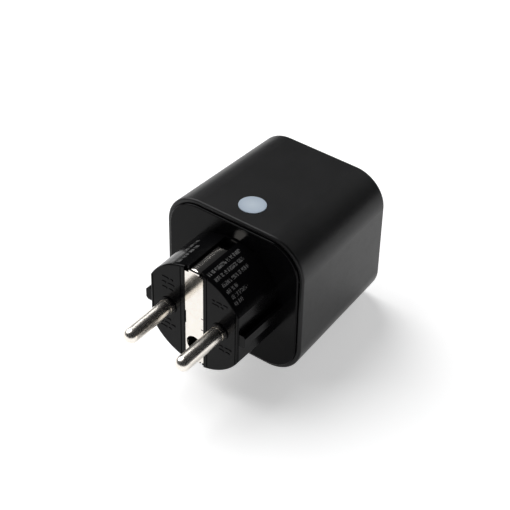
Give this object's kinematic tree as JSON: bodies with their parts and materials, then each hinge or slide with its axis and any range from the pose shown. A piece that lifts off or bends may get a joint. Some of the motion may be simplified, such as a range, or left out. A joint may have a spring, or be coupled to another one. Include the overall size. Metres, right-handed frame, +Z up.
{
  "type": "smart plug",
  "caption": "Plug-in smart switch: two round pins and earth strip on one side, an earthed socket recess with safety shutter on the other, and a push button on top.",
  "frame": {"origin": "midway between the two plug pins, on the engagement face that they stand out of", "axes": "+Y from the plug pins into the body, towards the socket; +X to the right seen from the pins; +Z up, the side with the button"},
  "size_m": [0.05, 0.0838, 0.05],
  "materials": {
    "housing_black": "satin black moulded plastic, fine even texture",
    "cover_black": "glossy black moulded plastic",
    "cup_black": "black moulded plastic, semi-gloss",
    "button_translucent": "pale blue-grey translucent plastic",
    "nickel": "polished nickel plate on brass",
    "spring_metal": "bright spring strip",
    "contact_brass": "plain brass strip",
    "copper_tin": "tinned copper strip",
    "screw_steel": "zinc-plated steel",
    "shutter_plastic": "dark grey moulded plastic",
    "board_green": "green solder mask",
    "part_black": "black moulding compound",
    "relay_case_plastic": "blue moulded plastic",
    "coil_copper": "enamelled copper wire",
    "relay_iron": "plated soft iron",
    "moulding_white": "off-white moulded plastic",
    "ferrite": "dark ferrite",
    "tape_yellow": "yellow insulating tape",
    "can_dark": "dark printed sleeve",
    "capacitor_yellow": "yellow film capacitor case",
    "varistor_blue": "blue epoxy coat",
    "resistor_green": "green flameproof coat",
    "tin_plate": "tin-plated sheet",
    "lamp_lens": "clear lamp body"
  },
  "bodies": {
    "base": {"housing_shell": "housing_black", "rear_cover": "cover_black", "pin_live": "nickel", "pin_neutral": "nickel", "earth_strip": "nickel", "earth_leaf": "spring_metal", "earth_link": "copper_tin", "socket_cup": "cup_black", "cup_screws": "screw_steel", "socket_earth_clip": "spring_metal", "contact_live": "contact_brass", "contact_neutral": "contact_brass", "shutter_spring": "spring_metal", "shutter_cover": "shutter_plastic", "shutter_cover_screws": "screw_steel", "busbar_live": "copper_tin", "busbar_neutral": "copper_tin", "current_shunt": "copper_tin", "main_board": "board_green", "board_screws": "screw_steel", "button_board": "board_green", "board_header": "part_black", "switch_base": "part_black", "switch_frame": "tin_plate", "switch_dome": "spring_metal", "indicator_leds": "lamp_lens", "relay_base": "moulding_white", "relay_case": "relay_case_plastic", "relay_bobbin": "moulding_white", "relay_winding": "coil_copper", "relay_core": "relay_iron", "relay_yoke": "relay_iron", "relay_fixed_contact": "copper_tin", "transformer_core": "ferrite", "transformer_winding": "tape_yellow", "bulk_capacitor": "can_dark", "output_capacitor": "can_dark", "suppression_capacitor": "capacitor_yellow", "varistor": "varistor_blue", "fuse_resistor": "resistor_green", "bridge_rectifier": "part_black", "metering_chip": "part_black", "regulator_chip": "part_black", "power_inductor": "ferrite", "wireless_module": "board_green", "module_shield": "tin_plate"},
    "button": {"button_cap": "button_translucent"},
    "plunger": {"switch_plunger": "part_black"},
    "shutter_disc": {"shutter": "shutter_plastic"},
    "armature": {"relay_armature": "relay_iron", "relay_moving_contact": "copper_tin"}
  },
  "joints": [
    {"name": "button_press", "type": "slide", "parent": "base", "child": "button", "axis": [0, 0, -1], "range_m": [0, 0.0003], "stiffness_N_per_m": 600, "springref_m": -0.0003},
    {"name": "plunger_press", "type": "slide", "parent": "base", "child": "plunger", "axis": [0, 0, -1], "range_m": [0, 0.0003]},
    {"name": "shutter_turn", "type": "hinge", "parent": "base", "child": "shutter_disc", "pos_m": [0, 0.04365, 0], "axis": [0, -1, 0], "range_deg": [0, 36], "stiffness_Nm_per_rad": 0.002, "springref_deg": -17.19},
    {"name": "armature_rock", "type": "hinge", "parent": "base", "child": "armature", "pos_m": [0.00075, 0.03555, 0.0099], "axis": [0, 0, -1], "range_deg": [0, 4], "stiffness_Nm_per_rad": 0.004, "springref_deg": -5.73}
  ],
  "couplings": [
    {"joint": "plunger_press", "follows": "button_press", "ratio": 1}
  ]
}
